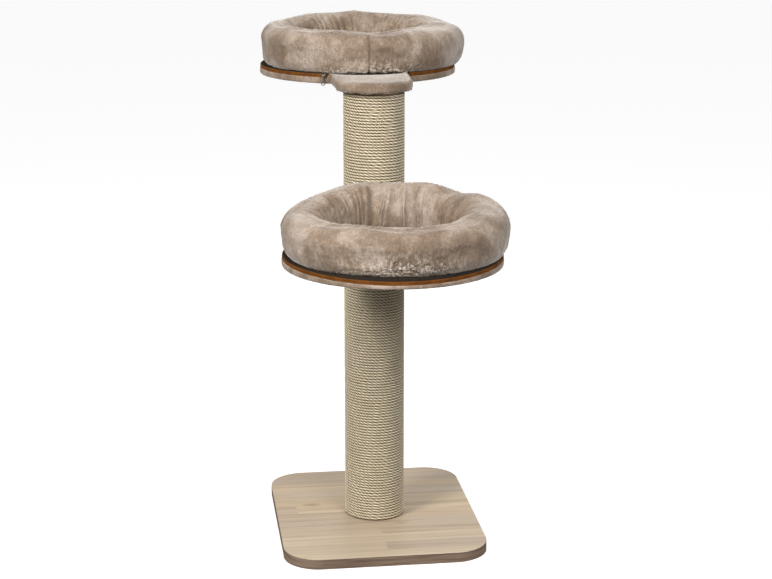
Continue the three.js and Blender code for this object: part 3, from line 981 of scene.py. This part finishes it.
# %% Sizes of a bed
def bed_sizes(bed):
    """The sizes and places of a bed, in its own frame: the post at the origin, the disc towards -Y."""
    board_low, board_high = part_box(f"{bed}_bed_board")
    cover_low, cover_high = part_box(f"{bed}_bed_cover")
    tape_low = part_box(f"{bed}_bed_zip_tape")[0]
    nest = sum(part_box(f"{bed}_nest_panel"), Vector()) / 2
    disc = (board_high.x - board_low.x) / 2
    return {
        "bottom": cover_low.z,
        "disc": disc,
        "arm": min(board_high.y, -board_low.y),
        "reach": abs(nest.y),
        "turn": 0.0 if nest.y < 0 else math.pi,
        "margin": (cover_high.x - cover_low.x) / 2 - disc,
        "rim": tape_low.z - cover_low.z,
        "thick": cover_high.z - cover_low.z,
    }


def placed(points, size):
    """From a bed's own frame to the object's."""
    c, s = math.cos(size["turn"]), math.sin(size["turn"])
    x, y, z = points[..., 0], points[..., 1], points[..., 2]
    return np.stack([c * x - s * y, s * x + c * y, z + size["bottom"]], axis=-1)


# %% Keyhole outline
FILLET = 10 * MM
FILLET_POINTS = 14




def arc(centre, radius, start, end, count, outward=1):
    """Points on an arc, and the directions that point out of the keyhole there."""
    angle = np.linspace(start, end, count, endpoint=False)[:, None]
    away = np.concatenate([np.cos(angle), np.sin(angle)], axis=1)
    return np.array(centre) + radius * away, outward * away


def keyhole(size, step):
    """The outline of a bed's board, point by point, and the outward direction at each."""
    disc, arm, reach = size["disc"], size["arm"], size["reach"]
    side = arm + FILLET
    rise = math.sqrt((disc + FILLET) ** 2 - side**2)
    turn = math.atan2(rise, side)
    round_disc, round_arm = int(disc * (math.pi + 2 * turn) / step), int(math.pi * arm / step)
    parts = [
        arc((0, -reach), disc, math.pi - turn, 2 * math.pi + turn, round_disc),
        arc((side, rise - reach), FILLET, math.pi + turn, math.pi, FILLET_POINTS, -1),
        arc((0, 0), arm, 0, math.pi, round_arm),
        arc((-side, rise - reach), FILLET, 0, -turn, FILLET_POINTS, -1),
    ]
    return tuple(np.concatenate(part) for part in zip(*parts))


# %% [markdown]
# ## The line of the zip
#
# The zip goes round the disc from one side of the arm to the other. Filling presses the nest down
# where it reaches furthest from the post, so the zip hangs a little lower there. Everything that
# meets at the zip follows the same curve: the cover's rim, both tapes, the teeth and the nest's skirt.

# %% Zip line
SAG = 6.5 * MM
SAG_SPREAD = math.radians(52)
ZIP_STOP = 5.6 * MM  # from the corner at the arm to the end of the zip


def sag(size, spots):
    """How far the zip hangs low at places in a bed's own frame. It is most opposite the arm."""
    angle = np.arctan2(-spots[..., 0], -spots[..., 1] - size["reach"])
    return SAG * np.exp(-((angle / SAG_SPREAD) ** 2))


def zip_opening(size):
    """The angle from the arm's middle line to either end of the zip."""
    corner = math.asin((size["arm"] + FILLET) / (size["disc"] + FILLET))
    return corner + ZIP_STOP / size["disc"]


# %% Shape of a cover
STEP = 3.2 * MM  # between two points of the outline


def smooth(share):
    """Eases a share from 0 to 1 in and out."""
    share = np.clip(share, 0, 1)
    return share**2 * (3 - 2 * share)


def quarter(count):
    """The corner of a profile as shares from 0 to 1: how far out, and how far up."""
    angle = np.linspace(0, math.pi / 2, count)
    return zip(np.sin(angle), 1 - np.cos(angle))


def cover_points(size):
    """The cover's rows, from the middle of the underside to the edge over the arm."""
    line, out = keyhole(size, STEP)
    margin, thick, reach = (size[key] for key in ("margin", "thick", "reach"))
    nest = size["disc"] + margin + 1 * MM
    edge = line + out * margin
    behind = np.sqrt(np.maximum(nest**2 - edge[:, 0] ** 2, 0)) - reach
    width = np.maximum(edge[:, 1] - behind, 0)
    on_arm = smooth(width / (30 * MM))
    from_arm = np.abs(np.arctan2(edge[:, 0], edge[:, 1] + reach))
    past_zip = smooth((zip_opening(size) - from_arm) * size["disc"] / (6 * MM))
    rim = size["rim"] - sag(size, edge)
    top = rim + (thick - rim) * past_zip
    low_round = 3 * MM + 4 * MM * on_arm
    high_round, high_inset = 2.5 * MM + 6 * MM * on_arm, 2.5 * MM + 12 * MM * on_arm

    def row(inset, height):
        flat = line + out * (margin - np.broadcast_to(inset, len(line)))[:, None]
        return np.column_stack([flat, np.broadcast_to(height, len(line))])

    deepest = size["arm"] - 10 * MM
    inner = row(deepest + margin, 0.0)
    middle = np.array([0, -reach, 0])
    rows = [middle + (inner - middle) * share for share in np.linspace(0.04, 0.96, 22)]
    rows += [row(inset + margin, 0.0) for inset in np.linspace(deepest, 0, 24)]
    rows += [row(low_round * (1 - x), low_round * y) for x, y in quarter(4)]
    rows += [row(0.0, low_round + (top - high_round - low_round) * s) for s in (0.3, 0.65, 1)]
    for x, y in quarter(7):
        rows.append(row(high_inset * y, top - high_round * (1 - x)))
    last = row(high_inset, top)
    left = np.maximum(last[:, 1] - behind, 0) * (width > 0)
    for share in np.linspace(0, 1, 18)[1:]:
        inward = last.copy()
        inward[:, 1] -= left * share
        inward[:, 2] += on_arm * (math.sin(math.pi * share) * 2 * MM - share**6 * 3 * MM)
        rows.append(inward)
    return placed(np.stack(rows), size)


# %% Make the covers
PLUSH_WALL = 3.4 * MM


def board_cover(bed):
    points = cover_points(bed_sizes(bed))
    mesh = merged(grid_mesh(f"{bed}_cover", points, caps=(True, False)), 0.2 * MM)
    piece = plush_piece(bed, "board_cover", "bed", "bed_cover", mesh, 0.9, 6, 1.2, PLUSH_WALL)


for bed in BEDS:
    board_cover(bed)

# %% [markdown]
# ## The zips
#
# A nest is held on its board by a coil zip: two woven tapes, each with a row of small teeth on the
# edge that meets the other. A tape is a flat band with a ridge along each edge, bent round the disc.
# The teeth are one low shape placed along a level arc, a tooth's pitch apart, by a node tree. Tapes
# and teeth are then let down along the zip's curve.

# %% Teeth tree
TOOTH_PITCH = 1.5 * MM
ARC_POINTS = 360


def tooth_tree():
    sockets = ("Radius", "Height", "Start", "Sweep", "Pitch", "Size", "Material")
    tree, given = start_tree("zip_teeth", sockets)
    wire = given["Radius"]
    bend = {"Radius": given["Radius"], "Start Angle": given["Start"], "Sweep Angle": given["Sweep"]}
    line = wire.add("GeometryNodeCurveArc", None, {"Resolution": ARC_POINTS, **bend})
    spacing = {"Curve": line, "Length": given["Pitch"]}
    points = line.add("GeometryNodeResampleCurve", {"mode": "LENGTH"}, spacing)
    tooth = wire.add("GeometryNodeMeshIcoSphere", None, {"Radius": given["Size"], "Subdivisions": 1})
    shape = wire.add("ShaderNodeCombineXYZ", None, {"X": 1.5, "Y": 0.62, "Z": 1.0})
    line_up = wire.add("GeometryNodeInputTangent")
    turn = wire.add("FunctionNodeAlignRotationToVector", {"axis": "Y"}, {"Vector": line_up})
    placing = {"Points": points, "Instance": tooth, "Rotation": turn, "Scale": shape}
    teeth = wire.add("GeometryNodeInstanceOnPoints", None, placing)
    lift = wire.add("ShaderNodeCombineXYZ", None, {"Z": given["Height"]})
    moving = {0: teeth, "Translation": lift, "Local Space": False}
    teeth = wire.add("GeometryNodeTranslateInstances", None, moving)
    end_tree(tree, teeth, given["Material"])
    return tree


TEETH = tooth_tree()


# %% Zip tapes
RIDGE = 0.75 * MM
TOOTH = 0.62 * MM
# The tape's section: how far out in ridges, and how high as a share of the tape.
TAPE_FACE = [(-1, 0.12), (-0.2, 0), (0.55, 0.14), (1, 0.27), (0.5, 0.42), (0.42, 0.52),
             (0.5, 0.62), (1, 0.75), (0.55, 0.9), (-0.2, 1), (-1, 0.88)]


def zip_tape(bed, part):
    """A tape with its teeth on the bed or on the nest. Gives its length."""
    size = bed_sizes(bed)
    low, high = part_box(f"{bed}_{part}_zip_tape")
    radius = (high.x - low.x) / 2 - 1 * MM
    opening = zip_opening(size)
    start, sweep = math.pi / 2 + opening, 2 * (math.pi - opening)
    bottom, top = low.z - size["bottom"], high.z - size["bottom"]
    section = [(radius + out * RIDGE, bottom + up * (top - bottom)) for out, up in TAPE_FACE]
    angle = start + np.linspace(0, sweep, 420)
    spots = around(section, angle, (0, -size["reach"])).swapaxes(0, 1)
    spots[..., 2] -= sag(size, spots)
    band = new_piece(f"{bed}_{part}_tape", closed(f"{bed}_{part}_tape", placed(spots, size)))
    band.data.materials.append(TAPE)
    values = {
        "Radius": radius + 0.2 * MM,
        "Height": top if part == "bed" else bottom,
        "Start": start,
        "Sweep": sweep,
        "Pitch": TOOTH_PITCH,
        "Size": TOOTH,
        "Material": TAPE,
    }
    teeth = grown(f"{bed}_{part}_teeth", TEETH, values)
    spots = points_of(teeth.data) - np.array([0, size["reach"], 0])
    spots[:, 2] -= sag(size, spots)
    move_points(teeth.data, placed(spots, size))
    for piece in (band, teeth):
        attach(piece, f"{bed}_{part}")
    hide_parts(f"{bed}_{part}_zip_tape")
    return radius * sweep


for bed in BEDS:
    for part in ("bed", "nest"):
        print(bed, part, "zip", round(zip_tape(bed, part), 3), "m")

# %% [markdown]
# ## Nest bottoms and floor pads
#
# Each nest has a stout canvas bottom that its ring is sewn to. Its edge is turned down as a skirt
# behind the upper tape, which it carries, and it follows the zip's curve. On it lies a loose round
# pad inside the ring. The pad is a flat disc of plush that filling blows up, so it starts a little
# thin, is given an even mesh, and a cloth simulation with inner pressure fills it out.

# %% Canvas finish
def canvas_finish():
    finish = Finish("canvas_dark", Roughness=0.9, Specular_IOR_Level=0.1)
    place = finish.place
    threads = {"Vector": place, "Scale": 220.0}
    weft, warp = (
        place.add("ShaderNodeTexWave", {"bands_direction": axis}, threads) for axis in "XY"
    )
    weave = weft * 0.5 + warp * 0.5
    tone = weave * 0.7 + place.noise(30, 2) * 0.3
    # Dark cloth, coloured near black partly as painted shade for the gap under the ring's edge.
    colour = mixed(tone, (0.012, 0.009, 0.007), (0.04, 0.03, 0.022))
    return finish.wear(colour, relief=weave, depth=0.3 * MM, strength=0.6)


CANVAS = canvas_finish()

# %% Nest bottoms
CANVAS_WALL = 0.8 * MM


def nest_bottom(bed):
    """A canvas disc whose edge is turned down behind the zip's upper tape."""
    size = bed_sizes(bed)
    low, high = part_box(f"{bed}_nest_panel")
    tape_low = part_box(f"{bed}_nest_zip_tape")[0]
    radius = (high.x - low.x) / 2
    base, top, hem = (z - size["bottom"] for z in (low.z, high.z, tape_low.z + 1 * MM))
    steps = np.linspace(0.03, 0.98, 12) * radius
    profile = [(r, base) for r in steps] + [(radius, base), (radius, hem)]
    profile += [(radius + CANVAS_WALL, hem), (radius + CANVAS_WALL, top - 1 * MM), (radius, top)]
    profile += [(r, top) for r in steps[::-1]]
    spots = around(profile, full_turn(240), (0, -size["reach"]))
    spots[..., 2] -= sag(size, spots) * np.isclose(spots[..., 2], hem)
    mesh = closed(f"{bed}_bottom", placed(spots, size))
    mesh.materials.append(CANVAS)
    mesh.shade_flat()
    piece = new_piece(f"{bed}_nest_bottom", mesh)
    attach(piece, f"{bed}_nest")
    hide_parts(f"{bed}_nest_panel")
    side = 2 * (radius + top - hem + SAG)
    area = math.pi * radius**2 + 2 * math.pi * radius * (top - hem)
    print(piece.name, round(area, 3), "m2 of canvas")


# %% Floor pads
def floor_pad(bed):
    low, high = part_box(f"{bed}_nest_floor_pad")
    centre, radius = (low + high) / 2, (high.x - low.x) / 2 + 6 * MM
    base, top = low.z + 1 * MM, high.z - 4 * MM
    half = (top - base) / 2
    edge = [(radius - half + half * math.cos(a), base + half + half * math.sin(a))
            for a in np.linspace(-math.pi / 2, math.pi / 2, 9)]
    steps = np.linspace(0.05, 0.88, 16) * radius
    profile = [(r, base) for r in steps] + edge + [(r, top) for r in steps[::-1]]
    points = around(profile, full_turn(160), centre)
    skin = new_piece(f"{bed}_pad_skin", closed(f"{bed}_pad", points))
    even = skin.modifiers.new("even", "REMESH")
    even.mode = "VOXEL"
    even.voxel_size = 5 * MM
    skin.data = baked(skin)
    skin.modifiers.clear()
    puff(skin, 4.0, 8 * MM)
    mesh = finer_mesh(skin)
    spots = points_of(mesh)
    spots[:, 2] = np.maximum(spots[:, 2], low.z)
    move_points(mesh, spots)
    pad = plush_piece(bed, "floor_pad", "nest", "nest_floor_pad", mesh, 1.2, 7, 1.4)


for bed in BEDS:
    nest_bottom(bed)
    floor_pad(bed)
